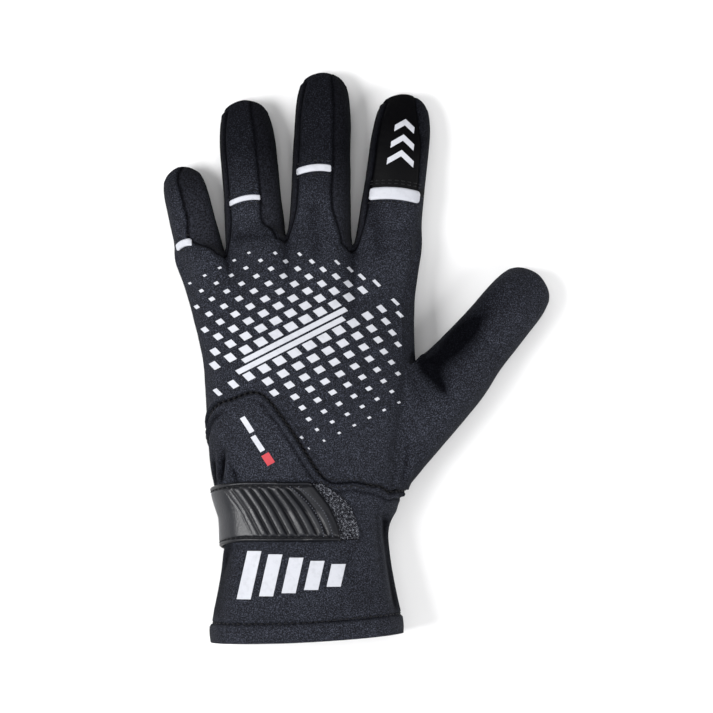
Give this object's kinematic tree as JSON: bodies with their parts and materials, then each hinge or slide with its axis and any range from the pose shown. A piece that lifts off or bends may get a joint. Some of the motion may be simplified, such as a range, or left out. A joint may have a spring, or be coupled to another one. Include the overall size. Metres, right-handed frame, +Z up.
{
  "type": "karting glove",
  "caption": "Left-hand karting glove lying palm down, with an open cuff, a wrist strap on a loop pad, gathered palm-side wrist and reflective finger bars.",
  "frame": {"origin": "under the middle of the glove's bounding box, on the surface that it lies on", "axes": "+X to the thumb's side, +Y from the cuff to the fingertips, +Z up through the back of the hand"},
  "size_m": [0.1818, 0.2684, 0.0445],
  "materials": {
    "back_fabric": "matt stretch knit",
    "palm_suede": "napped synthetic suede",
    "tip_patch": "smooth",
    "strap_leather": "fine grain, low sheen",
    "loop_pile": "looped pile",
    "reflective_film": "reflective silver film"
  },
  "bodies": {
    "root": {"back_panel": "back_fabric", "cuff_panel": "back_fabric", "palm_panel": "palm_suede", "gusset_little_ring": "back_fabric", "gusset_ring_middle": "back_fabric", "gusset_middle_index": "back_fabric", "tip_back_little": "back_fabric", "tip_back_ring": "back_fabric", "tip_back_middle": "back_fabric", "tip_patch_index": "tip_patch", "bar_little": "reflective_film", "bar_ring": "reflective_film", "bar_middle": "reflective_film", "bar_index": "reflective_film", "wrist_strap": "strap_leather", "loop_pad": "loop_pile"}
  },
  "joints": []
}
